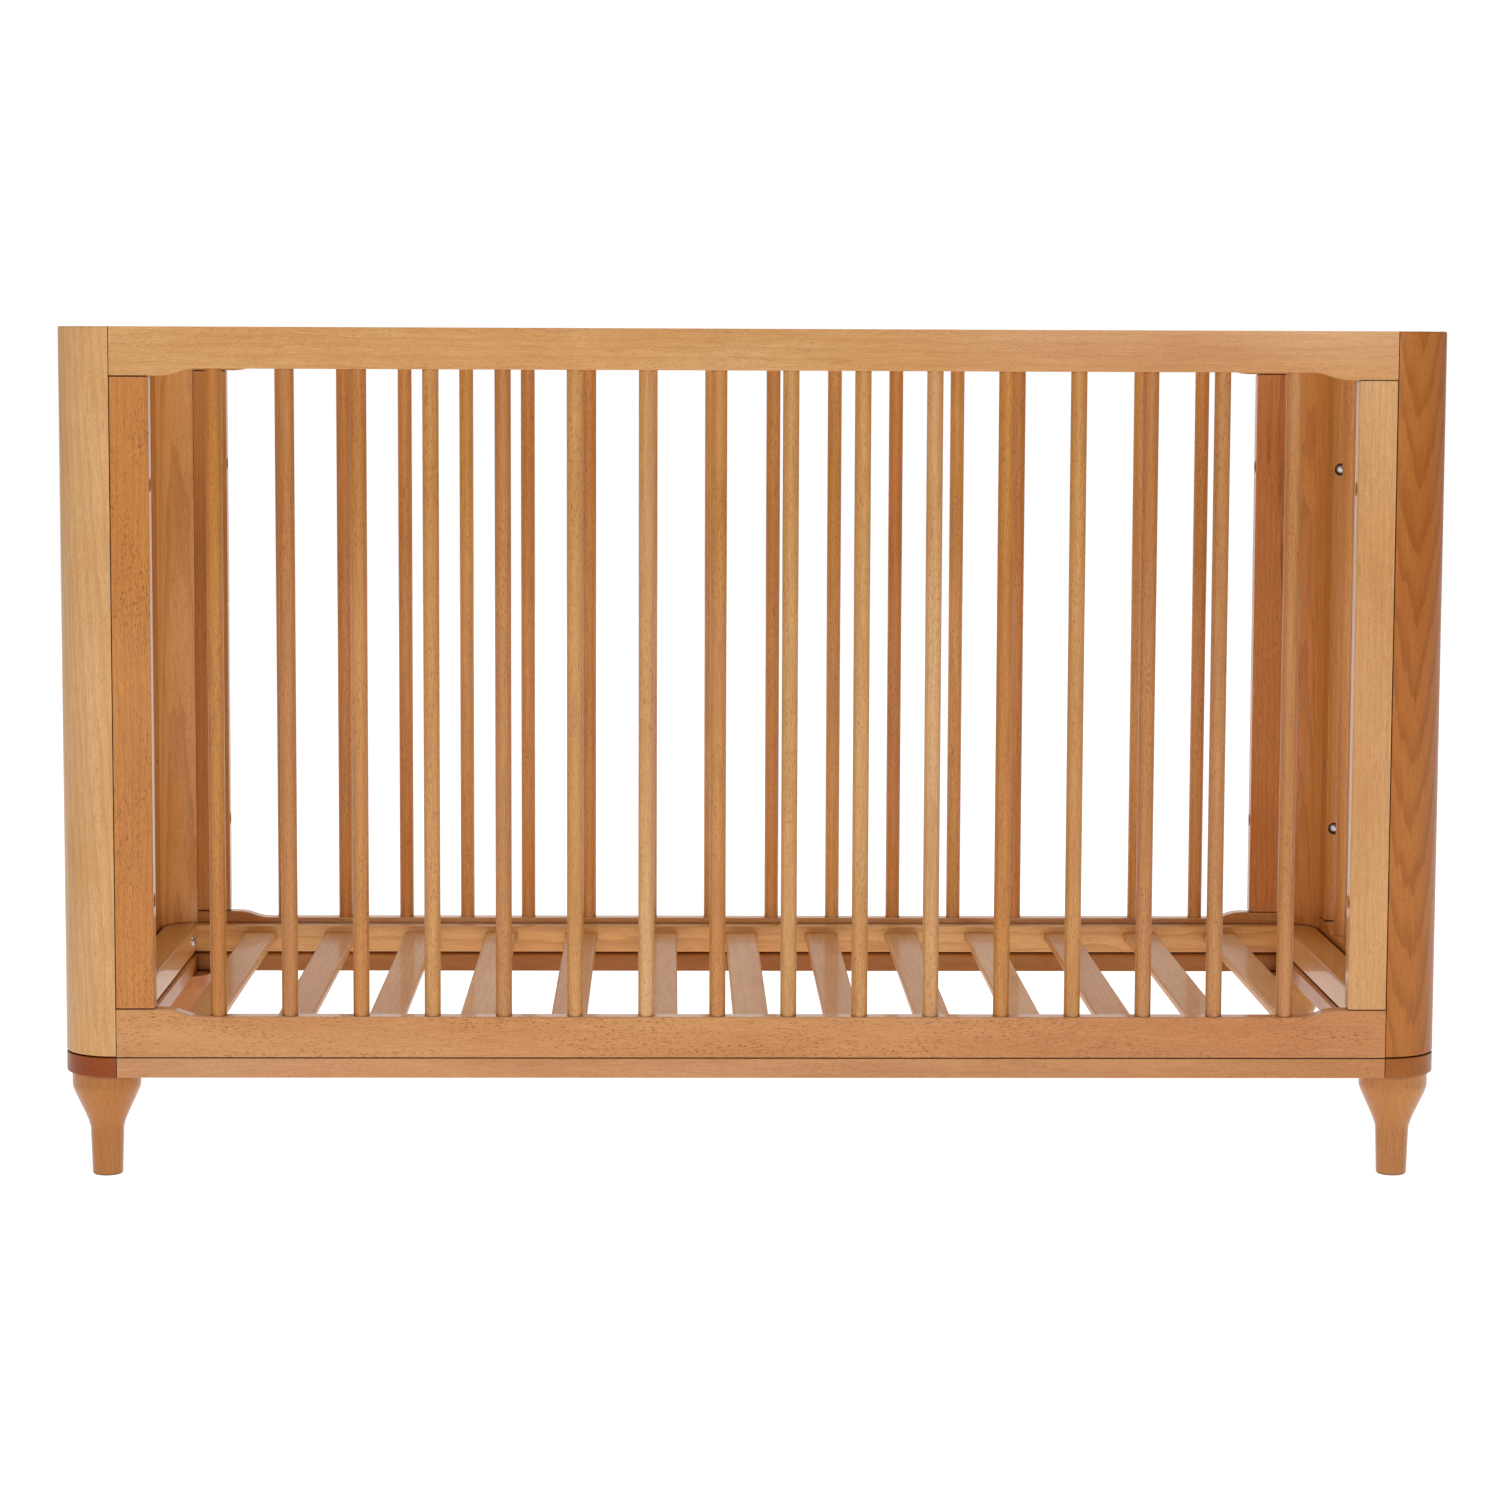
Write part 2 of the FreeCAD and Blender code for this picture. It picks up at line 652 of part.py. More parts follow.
def add_corners():
    """Posts, plinth blocks and feet at the four corners."""
    centre_x = value("long_panel / 2")
    centre_y = value("short_panel / 2")
    foot_shift = value("post_radius - foot_inset")
    for corner, turn, side_x, side_y in CORNERS:
        x = side_x * centre_x
        y = side_y * centre_y
        place(corner_post(f"{corner}_post"), x, y, value("panel_bottom"), turn)
        place(plinth_corner(f"{corner}_plinth_block"), x, y, value("foot_height"), turn)
        foot = new_body(f"{corner}_foot")
        revolve(foot, foot_outline())
        doc.recompute()
        place(foot, x + side_x * foot_shift, y + side_y * foot_shift, 0, turn)


def add_plinth_rails():
    half_length = value("overall_length / 2")
    half_width = value("overall_width / 2")
    height = value("foot_height")
    long_side = ("long_panel", "long_plinth_width", *LONG_SCREWS)
    end_side = ("short_panel", "end_plinth_width", *SHORT_SCREWS)
    place(plinth_rail("plinth_front_rail", *long_side), 0, -half_width, height, 0)
    place(plinth_rail("plinth_right_rail", *end_side), half_length, 0, height, 90)
    place(plinth_rail("plinth_back_rail", *long_side), 0, half_width, height, 180)
    place(plinth_rail("plinth_left_rail", *end_side), -half_length, 0, height, 270)


# ---------------------------------------------------------------- mattress base


def base_end_board(label):
    """An end board across the crib, its inner edge on x = 0 and its rounded corners towards +X."""
    body = new_body(label)
    section = new_sketch(body, "Section", XY, ("base_end_width / 2", 0, 0))
    draw_rectangle(section, "base_end_width", "base_width")
    add_pad(body, section, "base_height")
    outer = value("base_end_width")

    def outer_upright(edge):
        return edge.BoundBox.ZLength > 1 and edge.CenterOfMass.x > outer / 2

    round_edges(body, "base_corner", outer_upright)
    round_edges(body, "slat_round", lambda edge: edge.BoundBox.YLength > outer * 2)
    mortise = new_sketch(body, "Mortise", YZ, ("-base_rail_offset", "base_height / 2", 0))
    draw_rectangle(mortise, "board / 2 + 2 * fit", "base_tenon_height + 2 * fit")
    pocket = add_pocket(body, mortise, "base_tenon_length + fit", reverse=True)
    add_row(body, pocket, "H_Axis", 2, "2 * base_rail_offset")
    bore = new_sketch(body, "BoltHole", YZ, ("-base_bolt_offset", "base_height - base_bolt_drop", 0))
    draw_circle(bore, "bolt_hole")
    pocket = add_pocket(body, bore, "base_end_width + 1", reverse=True)
    add_row(body, pocket, "H_Axis", 2, "2 * base_bolt_offset")
    return body


def base_rail(label):
    """A long rail of the base, mortised on its inner face, towards +Y, for the ends of the slats."""
    body = new_body(label)
    section = new_sketch(body, "Section", XY)
    draw_rectangle(section, "long_panel", "board")
    add_pad(body, section, "base_height")
    half = value("long_panel") / 2
    round_edges(body, "edge_round", lambda edge: edge.BoundBox.XLength > half)
    tenon = new_sketch(body, "Tenons", XY, (0, 0, "(base_height - base_tenon_height) / 2"))
    draw_rectangle(tenon, "long_panel + 2 * base_tenon_length", "board / 2")
    add_pad(body, tenon, "base_tenon_height")
    level = "slat_level - base_bottom"
    first = "-(slat_count - 1) * slat_pitch / 2"
    mortise = new_sketch(body, "SlatMortise", XZ, (first, level, "-board / 2"))
    draw_rectangle(mortise, "slat_width + 2 * fit", "slat_thickness + 2 * fit")
    pocket = add_pocket(body, mortise, "slat_seat + fit", reverse=True)
    add_row(body, pocket, "H_Axis", "slat_count", "(slat_count - 1) * slat_pitch")
    return body


def base_slat(label):
    """A flat slat across the crib, about its own middle."""
    body = new_body(label)
    section = new_sketch(body, "Section", XZ)
    draw_rectangle(section, "slat_width", "slat_thickness")
    add_pad(body, section, "slat_length", symmetric=True)
    half = value("slat_length") / 2
    round_edges(body, "slat_round", lambda edge: edge.BoundBox.YLength > half)
    return body


def add_base():
    end_x = value("long_panel / 2")
    bottom = value("base_bottom")
    offset = value("base_rail_offset")
    place(base_end_board("base_right_end"), end_x, 0, bottom, 0)
    place(base_end_board("base_left_end"), -end_x, 0, bottom, 180)
    place(base_rail("base_front_rail"), 0, -offset, bottom, 0)
    place(base_rail("base_back_rail"), 0, offset, bottom, 180)
    count = int(value("slat_count"))
    for number in range(count):
        x = (number - (count - 1) / 2) * value("slat_pitch")
        place(base_slat(f"base_slat_{number + 1:02d}"), x, 0, value("slat_level"), 0)


# ---------------------------------------------------------------- hardware
# Identical fasteners share a node: one shape, copied to every place where it is used.


def turned(points):
    """A solid of revolution about Z from (radius, height) points that start and end on the axis."""
    corners = [Vector(radius, 0, height) for radius, height in points]
    face = Part.Face(Part.makePolygon(corners + corners[:1]))
    return face.revolve(Vector(0, 0, 0), UP, 360)


def button_bolt(shank):
    """A bolt with a domed head and a hex socket, its head's seat at z = 0 and its shank down -Z."""
    head = value("head_diameter") / 2
    height = value("head_height")
    rim = height / 4
    dome_radius = (head ** 2 + (height - rim) ** 2) / (2 * (height - rim))
    disc = Part.makeCylinder(head, height)
    dome = Part.makeSphere(dome_radius, Vector(0, 0, height - dome_radius))
    across = value("socket_width") / math.sqrt(3)
    corners = [Vector(across * math.cos(step * math.pi / 3), across * math.sin(step * math.pi / 3),
                      height - value("socket_depth")) for step in range(7)]
    socket = Part.Face(Part.makePolygon(corners)).extrude(UP * height)
    rod = Part.makeCylinder(value("bolt_diameter") / 2, shank, Vector(0, 0, -shank))
    return disc.common(dome).fuse(rod).cut(socket).removeSplitter()


def threaded_insert():
    """A sleeve with its mouth at z = 0, down -Z."""
    length = value("insert_length")
    tube = Part.makeCylinder(value("insert_diameter") / 2, length, Vector(0, 0, -length))
    return tube.cut(Part.makeCylinder(value("bolt_hole") / 2, length, Vector(0, 0, -length)))


def wood_screw():
    """A countersunk screw pointing up, its head's flat face at z = 0."""
    head = value("screw_head") / 2
    shank = value("screw_diameter") / 2
    length = value("screw_length")
    return turned([(0, 0), (head, 0), (shank, head - shank), (shank, length - head), (0, length)])


def add_group(label, shape, positions):
    """Copies of a shape whose own +Z is turned to each direction at each point."""
    copies = []
    for point, direction in positions:
        copy = shape.copy()
        copy.Placement = FreeCAD.Placement(point, FreeCAD.Rotation(UP, direction))
        copies.append(copy)
    group = doc.addObject("Part::Feature", label)
    group.Label = label
    group.Shape = Part.makeCompound(copies)


def joint_ends():
    """Each post's two joints with its panels: the joint's point, and the way into the post."""
    centre_x = value("long_panel / 2")
    centre_y = value("short_panel / 2")
    out = value("post_middle")
    for _, _, side_x, side_y in CORNERS:
        yield Vector(side_x * centre_x, side_y * (centre_y + out), 0), Vector(side_x, 0, 0)
        yield Vector(side_x * (centre_x + out), side_y * centre_y, 0), Vector(0, side_y, 0)


def add_panel_hardware():
    seat = value("stile_width - counterbore_depth")
    bolts = []
    inserts = []
    for height in (value("lower_bolts"), value("upper_bolts")):
        for joint, inward in joint_ends():
            point = joint + UP * height
            bolts.append((point - inward * seat, inward * -1))
            inserts.append((point, inward * -1))
    add_group("stile_bolts", button_bolt(seat + value("insert_length - sink")), bolts)
    add_group("stile_bolt_inserts", threaded_insert(), inserts)


def add_base_hardware():
    head_x = value("long_panel / 2")
    insert_x = value("overall_length / 2 - board")
    offset = value("base_bolt_offset")
    level = value("base_bolt_height")
    bolts = []
    inserts = []
    for side_x in (-1, 1):
        for side_y in (-1, 1):
            inward = Vector(-side_x, 0, 0)
            bolts.append((Vector(side_x * head_x, side_y * offset, level), inward))
            for height in (level, value("upper_base_bolts")):
                inserts.append((Vector(side_x * insert_x, side_y * offset, height), inward))
    add_group("base_bolts", button_bolt(value("base_end_width - sink")), bolts)
    add_group("base_inserts", threaded_insert(), inserts)


def add_plinth_hardware():
    foot_x = value("overall_length / 2 - foot_inset")
    foot_y = value("overall_width / 2 - foot_inset")
    stud_bottom = value("foot_height - stud_in_foot + sink")
    stud = Part.makeCylinder(value("stud_diameter") / 2, value("stud_in_foot + stud_in_block - 2 * sink"))
    corners = [(side_x, side_y) for _, _, side_x, side_y in CORNERS]
    studs = [Vector(side_x * foot_x, side_y * foot_y, stud_bottom) for side_x, side_y in corners]
    add_group("foot_studs", stud, [(point, UP) for point in studs])
    half_dowel = Vector(0, 0, value("dowel_length / 2"))
    dowel = Part.makeCylinder(value("dowel_diameter") / 2, value("dowel_length"), -half_dowel)
    level = UP * value("foot_height + plinth_height / 2")
    dowels = []
    for joint, inward in joint_ends():
        if inward.x:
            outward = Vector(0, math.copysign(1, joint.y), 0)
        else:
            outward = Vector(math.copysign(1, joint.x), 0, 0)
        for inset in (value("dowel_inset"), value("dowel_inset + dowel_spacing")):
            dowels.append((joint + outward * (value("board / 2") - inset) + level, inward))
    add_group("plinth_dowels", dowel, dowels)
    under = value("foot_height")
    corner_x = value("long_panel / 2 + post_middle * sqrt(0.5)")
    corner_y = value("short_panel / 2 + post_middle * sqrt(0.5)")
    screws = [Vector(side_x * corner_x, side_y * corner_y, under) for side_x, side_y in corners]
    for side in (-1, 1):
        for step in (-1.5, -0.5, 0.5, 1.5):
            along = step * value("4 * long_pitch")
            screws.append(Vector(along, side * value("long_offset"), under))
        for step in (-0.5, 0.5):
            along = step * value("3 * short_pitch")
            screws.append(Vector(side * value("short_offset"), along, under))
    add_group("plinth_screws", wood_screw(), [(point, UP) for point in screws])


# ---------------------------------------------------------------- checks and files


def sub_parts():
    bodies = [item for item in doc.Objects if item.TypeId == "PartDesign::Body"]
    groups = [item for item in doc.Objects if item.TypeId == "Part::Feature"]
    return bodies + groups


def check_document():
    """Stops before anything is written if a feature failed or a pocket cut nothing."""
    for item in doc.Objects:
        if "Invalid" in item.State or "Error" in item.State:
            owner = item.getParentGeoFeatureGroup()
            place_of = owner.Label if owner else "the document"
            raise RuntimeError(f"{item.Label} in {place_of}: {item.getStatusString()}")
        if item.TypeId == "PartDesign::Pocket":
            before = item.BaseFeature.Shape.Volume
            if item.Shape.Volume > before - 1:
                raise RuntimeError(f"{item.Label} in {item.getParentGeoFeatureGroup().Label} cuts nothing")
    for item in sub_parts():
        if item.Shape.isNull() or not item.Shape.isValid():
            raise RuntimeError(f"{item.Label} has no valid shape")


def export_parts():
    os.makedirs("parts", exist_ok=True)
    for item in sub_parts():
        item.Shape.exportStep(f"parts/{item.Label}.step")


fill_sheet()
add_panels()
add_corners()
add_plinth_rails()
add_base()
add_panel_hardware()
add_base_hardware()
add_plinth_hardware()
doc.recompute()
check_document()
export_parts()
print(len(sub_parts()), "parts")
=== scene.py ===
import math
import random

import bpy
from mathutils import Euler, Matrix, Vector


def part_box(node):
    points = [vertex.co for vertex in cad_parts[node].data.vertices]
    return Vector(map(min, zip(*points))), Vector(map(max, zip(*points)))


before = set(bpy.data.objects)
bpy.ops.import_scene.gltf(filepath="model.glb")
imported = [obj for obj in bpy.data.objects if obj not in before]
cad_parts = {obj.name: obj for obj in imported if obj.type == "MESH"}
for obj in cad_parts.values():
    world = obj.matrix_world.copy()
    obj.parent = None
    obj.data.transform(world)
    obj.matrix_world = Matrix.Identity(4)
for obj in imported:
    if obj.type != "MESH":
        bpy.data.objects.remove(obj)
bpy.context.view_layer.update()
scene = bpy.context.scene
scene.view_settings.view_transform = "Standard"

# ---------------------------------------------------------------- camera

SENSOR = 36.0
FOCAL = 96.8
CAMERA_PLACE = (-0.0864, -4.549, 0.880)
LOOK_DOWN = 0.1012
TURN_RIGHT = 0.0197
ROLL = 0.0040


def add_camera():
    data = bpy.data.cameras.new("camera")
    data.sensor_width = SENSOR
    data.lens = FOCAL
    camera = bpy.data.objects.new("camera", data)
    scene.collection.objects.link(camera)
    camera.location = CAMERA_PLACE
    view = Euler((math.pi / 2 - LOOK_DOWN, 0, -TURN_RIGHT)).to_matrix()
    camera.rotation_euler = (view @ Euler((0, 0, ROLL)).to_matrix()).to_euler()
    scene.camera = camera


# ---------------------------------------------------------------- node helpers


class Tree:
    """A node tree with short calls for adding and wiring nodes."""

    def __init__(self, tree):
        self.tree = tree

    def add(self, kind, **settings):
        node = self.tree.nodes.new(kind)
        for name, value in settings.items():
            setattr(node, name, value)
        return node

    def feed(self, socket, value):
        if isinstance(value, bpy.types.NodeSocket):
            self.tree.links.new(value, socket)
        elif socket.type == "RGBA" and len(value) == 3:
            socket.default_value = (*value, 1)
        else:
            socket.default_value = value

    def maths(self, operation, *values, clamp=False):
        node = self.add("ShaderNodeMath", operation=operation, use_clamp=clamp)
        for socket, value in zip(node.inputs, values):
            self.feed(socket, value)
        return node.outputs[0]

    def vector_maths(self, operation, *values):
        node = self.add("ShaderNodeVectorMath", operation=operation)
        for socket, value in zip(node.inputs, values):
            self.feed(socket, value)
        return node.outputs["Value" if operation == "LENGTH" else "Vector"]

    def step(self, value, low, high, low_out=0.0, high_out=1.0):
        """A smooth step of a value from one output to another."""
        node = self.add("ShaderNodeMapRange", interpolation_type="SMOOTHSTEP")
        for name, number in zip(("Value", "From Min", "From Max", "To Min", "To Max"),
                                (value, low, high, low_out, high_out)):
            self.feed(node.inputs[name], number)
        return node.outputs["Result"]

    def blend(self, factor, first, second):
        """A number between the first and the second."""
        node = self.add("ShaderNodeMix", data_type="FLOAT")
        self.feed(node.inputs[0], factor)
        self.feed(node.inputs[2], first)
        self.feed(node.inputs[3], second)
        return node.outputs[0]

    def mix(self, factor, first, second):
        node = self.add("ShaderNodeMix", data_type="RGBA")
        self.feed(node.inputs["Factor"], factor)
        self.feed(node.inputs[6], first)
        self.feed(node.inputs[7], second)
        return node.outputs[2]

    def noise(self, vector, detail=2.0, roughness=0.5, scale=1.0):
        node = self.add("ShaderNodeTexNoise")
        self.feed(node.inputs["Vector"], vector)
        node.inputs["Scale"].default_value = scale
        node.inputs["Detail"].default_value = detail
        node.inputs["Roughness"].default_value = roughness
        return node.outputs["Fac"]


def over(x, y, z):
    """The scale that turns metres into cells of these sizes in millimetres."""
    return (1000 / x, 1000 / y, 1000 / z)


# ---------------------------------------------------------------- beech
# One group holds the whole figure of the wood. Its coordinates are metres with the grain along Z.

# what each kind of darker wood, and the painted shade of a crevice, is to the wood around it, in red, green
# and blue
LATE_WOOD = (0.62, 0.47, 0.34)
RAY_FLECK = (0.50, 0.34, 0.22)
MINERAL_STREAK = (0.45, 0.36, 0.30)
# painted shade: how dark the colour is made in a crevice between two pieces
PAINTED_CREVICE_SHADE = (0.22, 0.12, 0.07)
WARM_PATCH = (0.95, 0.86, 0.72)

# how much of a change of level goes to red, green and blue
CHANGE_BY_COLOUR = (0.85, 1.40, 2.40)

# how strongly rings, pores, fibres and blotches show
RING_DEPTH = 0.34
PORE_DEPTH = 0.42
FIBRE_CHANGE = 0.60
BLOTCH_CHANGE = 0.75

# how far a ring strays, in rings, and in metres how far the grain bends and how far the painted shade of
# crevices reaches
UNEVEN_RINGS = 1.2
WANDER = (0.009, 0.009, 0.0)
CREVICE_REACH = 0.004

# the group's inputs besides the place and the tone, as they are where a board doesn't say
FLOATS = {
    "Figure": 0.5,
    "Ring Width": 6.0,
    "Taper": 0.006,
    "Flecks": 0.5,
    "Blotch": 0.5,
    "Streak": 0.0,
    # Crevice: how strongly painted shade darkens the colour in crevices
    "Crevice": 1.0,
}


def beech_group():
    group = bpy.data.node_groups.new("beech", "ShaderNodeTree")
    face = group.interface
    face.new_socket("Vector", in_out="INPUT", socket_type="NodeSocketVector")
    face.new_socket("Tone", in_out="INPUT", socket_type="NodeSocketColor")
    for name, value in FLOATS.items():
        face.new_socket(name, in_out="INPUT", socket_type="NodeSocketFloat").default_value = value
    for name, kind in (("Color", "Color"), ("Roughness", "Float"), ("Height", "Float")):
        face.new_socket(name, in_out="OUTPUT", socket_type="NodeSocket" + kind)
    tree = Tree(group)
    given = tree.add("NodeGroupInput").outputs
    place = given["Vector"]

    def cells(x, y, z):
        return tree.vector_maths("MULTIPLY", place, over(x, y, z))

    # the wood wanders: everything along the grain bends a little
    bend = tree.add("ShaderNodeTexNoise")
    tree.feed(bend.inputs["Vector"], cells(60, 60, 420))
    bend.inputs["Detail"].default_value = 1.0
    wander = tree.vector_maths("SUBTRACT", bend.outputs["Color"], (0.5, 0.5, 0.5))
    bent = tree.vector_maths("ADD", place, tree.vector_maths("MULTIPLY", wander, WANDER))

    # growth rings about the heart of the tree: cones, which make the tall arches of a flat-cut face
    ring_count = tree.maths("DIVIDE", 1000.0, given["Ring Width"])
    outward = tree.vector_maths("LENGTH", tree.vector_maths("MULTIPLY", bent, (1.0, 1.0, 0.0)))
    split = tree.add("ShaderNodeSeparateXYZ")
    tree.feed(split.inputs["Vector"], bent)
    outward = tree.maths("MULTIPLY_ADD", split.outputs["Z"], given["Taper"], outward)
    around = tree.maths("MULTIPLY", outward, ring_count)
    uneven = tree.noise(tree.vector_maths("MULTIPLY", bent, over(25, 25, 400)), detail=2.0)
    phase = tree.maths("FRACT", tree.maths("ADD", around, tree.maths("MULTIPLY", uneven, UNEVEN_RINGS)))
    late = tree.step(phase, 0.35, 0.93)
    early = tree.step(phase, 0.93, 1.0)
    ring = tree.maths("SUBTRACT", late, early, clamp=True)
    ring_dark = tree.maths("MULTIPLY", ring, tree.maths("MULTIPLY", given["Figure"], RING_DEPTH))

    # fine fibres and pores
    fibre = tree.noise(tree.vector_maths("MULTIPLY", bent, over(0.8, 0.8, 40)), detail=3.0, roughness=0.6)
    pores = tree.noise(tree.vector_maths("MULTIPLY", bent, over(0.55, 0.55, 3.6)), detail=1.0)
    pore = tree.step(pores, 0.56, 0.70)

    # ray flecks: short dark dashes, in patches
    fleck = tree.add("ShaderNodeTexVoronoi", feature="F1")
    tree.feed(fleck.inputs["Vector"], tree.vector_maths("MULTIPLY", bent, over(1.25, 1.25, 6.0)))
    fleck.inputs["Scale"].default_value = 1.0
    chosen = tree.add("ShaderNodeSeparateColor")
    tree.feed(chosen.inputs["Color"], fleck.outputs["Color"])
    dash = tree.step(fleck.outputs["Distance"], 0.24, 0.46, 1.0, 0.0)
    kept = tree.step(chosen.outputs[0], 0.30, 0.62)
    patch = tree.step(tree.noise(cells(30, 30, 110), detail=1.0), 0.38, 0.60, 0.4, 1.0)
    dash = tree.maths("MULTIPLY", tree.maths("MULTIPLY", dash, kept), patch)

    # broad changes of tone, and the dark mineral streak of some boards
    blotch = tree.noise(cells(45, 45, 210), detail=2.0)
    warmth = tree.step(tree.noise(cells(130, 130, 420), detail=1.0), 0.38, 0.66)
    broad = tree.maths("MULTIPLY", tree.maths("SUBTRACT", blotch, 0.5), given["Blotch"])
    streaky = tree.noise(tree.vector_maths("MULTIPLY", bent, over(9, 9, 300)), detail=3.0)
    streak = tree.step(streaky, 0.56, 0.72)
    streak = tree.maths("MULTIPLY", streak, given["Streak"])

    # painted shade: the colour is darkened in the crevice between two pieces, as far as the ambient
    # occlusion finds it
    near = tree.add("ShaderNodeAmbientOcclusion", samples=6)
    near.inputs["Distance"].default_value = CREVICE_REACH
    shade = tree.step(near.outputs["AO"], 0.40, 0.93, 1.0, 0.0)
    shade = tree.maths("MULTIPLY", shade, given["Crevice"])

    # darker wood is also redder, so the change is least in red and most in blue
    change = tree.maths("MULTIPLY", tree.maths("SUBTRACT", fibre, 0.5), FIBRE_CHANGE)
    change = tree.maths("MULTIPLY_ADD", broad, BLOTCH_CHANGE, change)
    level = tree.vector_maths("MULTIPLY_ADD", change, CHANGE_BY_COLOUR, (1.0, 1.0, 1.0))
    warmed = tree.mix(warmth, given["Tone"], tree.vector_maths("MULTIPLY", given["Tone"], WARM_PATCH))
    light = tree.vector_maths("MULTIPLY", warmed, level)
    deep = tree.vector_maths("MULTIPLY", light, LATE_WOOD)
    colour = tree.mix(ring_dark, light, deep)
    colour = tree.mix(tree.maths("MULTIPLY", pore, PORE_DEPTH), colour, deep)
    dark = tree.vector_maths("MULTIPLY", light, RAY_FLECK)
    colour = tree.mix(tree.maths("MULTIPLY", dash, given["Flecks"]), colour, dark)
    colour = tree.mix(streak, colour, tree.vector_maths("MULTIPLY", light, MINERAL_STREAK))
    # painted shade in the crevices
    colour = tree.mix(shade, colour, tree.vector_maths("MULTIPLY", light, PAINTED_CREVICE_SHADE))

    rough = tree.maths("ADD", 0.40, tree.maths("MULTIPLY", tree.maths("SUBTRACT", fibre, 0.5), 0.22))
    rough = tree.maths("ADD", rough, tree.maths("MULTIPLY", dash, 0.08))
    height = tree.maths("SUBTRACT", tree.maths("MULTIPLY", fibre, 0.5), tree.maths("MULTIPLY", pore, 0.5))
    height = tree.maths("SUBTRACT", height, tree.maths("MULTIPLY", dash, given["Flecks"]))
    leave = tree.add("NodeGroupOutput")
    for name, value in (("Color", colour), ("Roughness", rough), ("Height", height)):
        tree.feed(leave.inputs[name], value)
    return group


# how much of red, green and blue the studio's light brings back from the wood, how much white its
# lacquer adds, and the darkest that the wood itself may be
STUDIO_LIGHT = (0.98, 0.945, 0.96)
STUDIO_VEIL = 0.030
DARKEST = 0.004


def tone(red, green, blue):
    """The wood's own colour for a colour from 0 to 255 as it looks in the studio's light."""
    seen = []
    for channel, light in zip((red, green, blue), STUDIO_LIGHT):
        level = channel / 255
        linear = level / 12.92 if level <= 0.04045 else ((level + 0.055) / 1.055) ** 2.4
        seen.append(max(DARKEST, (linear - STUDIO_VEIL) / light))
    return tuple(seen)


GRAIN_TURN = {
    "x": (0, -math.pi / 2, 0),
    "y": (math.pi / 2, 0, 0),
    "z": (0, 0, 0),
}
GROUP = beech_group()


def lacquered(tree, gloss):
    """The clear lacquer that every wooden piece has."""
    shader = tree.add("ShaderNodeBsdfPrincipled")
    shader.inputs["IOR"].default_value = 1.47
    shader.inputs["Specular IOR Level"].default_value = gloss / 2
    shader.inputs["Coat Weight"].default_value = gloss
    shader.inputs["Coat Roughness"].default_value = 0.09
    shader.inputs["Coat IOR"].default_value = 1.5
    leave = tree.add("ShaderNodeOutputMaterial")
    tree.feed(leave.inputs["Surface"], shader.outputs["BSDF"])
    return shader


def beech(name, colour, grain, each=None, far=None, heart=None, gloss=0.5, **floats):
    """A beech material. far is the tone that a long board drifts to at its right end, heart is
    where the middle of the tree was, and each=(axis, pitch, tones) gives every spindle its tone
    and its own figure."""
    material = bpy.data.materials.new(name)
    material.use_nodes = True
    material.node_tree.nodes.clear()
    tree = Tree(material.node_tree)
    source = tree.add("ShaderNodeTexCoord")
    draw = random.Random(name)
    turned = tree.add("ShaderNodeMapping")
    tree.feed(turned.inputs["Vector"], source.outputs["Object"])
    turned.inputs["Rotation"].default_value = GRAIN_TURN[grain]
    away = [draw.uniform(0.03, 0.09), draw.uniform(-0.09, -0.03), draw.uniform(-3, 3)]
    if heart:
        away[:2] = (-heart[0], -heart[1])
    turned.inputs["Location"].default_value = away
    place = turned.outputs["Vector"]
    piece_tone = colour
    split = tree.add("ShaderNodeSeparateXYZ")
    tree.feed(split.inputs["Vector"], source.outputs["Object"])
    if far:
        piece_tone = tree.mix(tree.step(split.outputs["X"], -0.1, 0.6), colour, far)
    if each:
        axis, pitch, tones = each
        count = len(tones)
        number = tree.maths("FLOOR", tree.maths("MULTIPLY_ADD", split.outputs[axis], 1 / pitch, count / 2))
        chance = tree.add("ShaderNodeTexWhiteNoise", noise_dimensions="1D")
        tree.feed(chance.inputs["W"], tree.maths("ADD", number, draw.uniform(10, 90)))
        shift = tree.vector_maths("MULTIPLY", chance.outputs["Color"], (0.11, 0.11, 4.0))
        place = tree.vector_maths("ADD", place, shift)
        ramp = tree.add("ShaderNodeValToRGB")
        tree.feed(ramp.inputs["Fac"], tree.maths("MULTIPLY_ADD", number, 1 / count, 0.5 / count))
        band = ramp.color_ramp
        band.interpolation = "CONSTANT"
        band.elements.remove(band.elements[1])
        band.elements[0].position = 0
        band.elements[0].color = (*tones[0], 1)
        for index in range(1, count):
            band.elements.new(index / count).color = (*tones[index], 1)
        piece_tone = ramp.outputs["Color"]
    wood = tree.add("ShaderNodeGroup", node_tree=GROUP)
    tree.feed(wood.inputs["Vector"], place)
    tree.feed(wood.inputs["Tone"], piece_tone)
    for word, value in floats.items():
        wood.inputs[word.replace("_", " ").title()].default_value = value
    shader = lacquered(tree, gloss)
    tree.feed(shader.inputs["Base Color"], wood.outputs["Color"])
    tree.feed(shader.inputs["Roughness"], wood.outputs["Roughness"])
    bump = tree.add("ShaderNodeBump")
    bump.inputs["Strength"].default_value = 0.35
    bump.inputs["Distance"].default_value = 0.00025
    tree.feed(bump.inputs["Height"], wood.outputs["Height"])
    tree.feed(shader.inputs["Normal"], bump.outputs["Normal"])
    return material


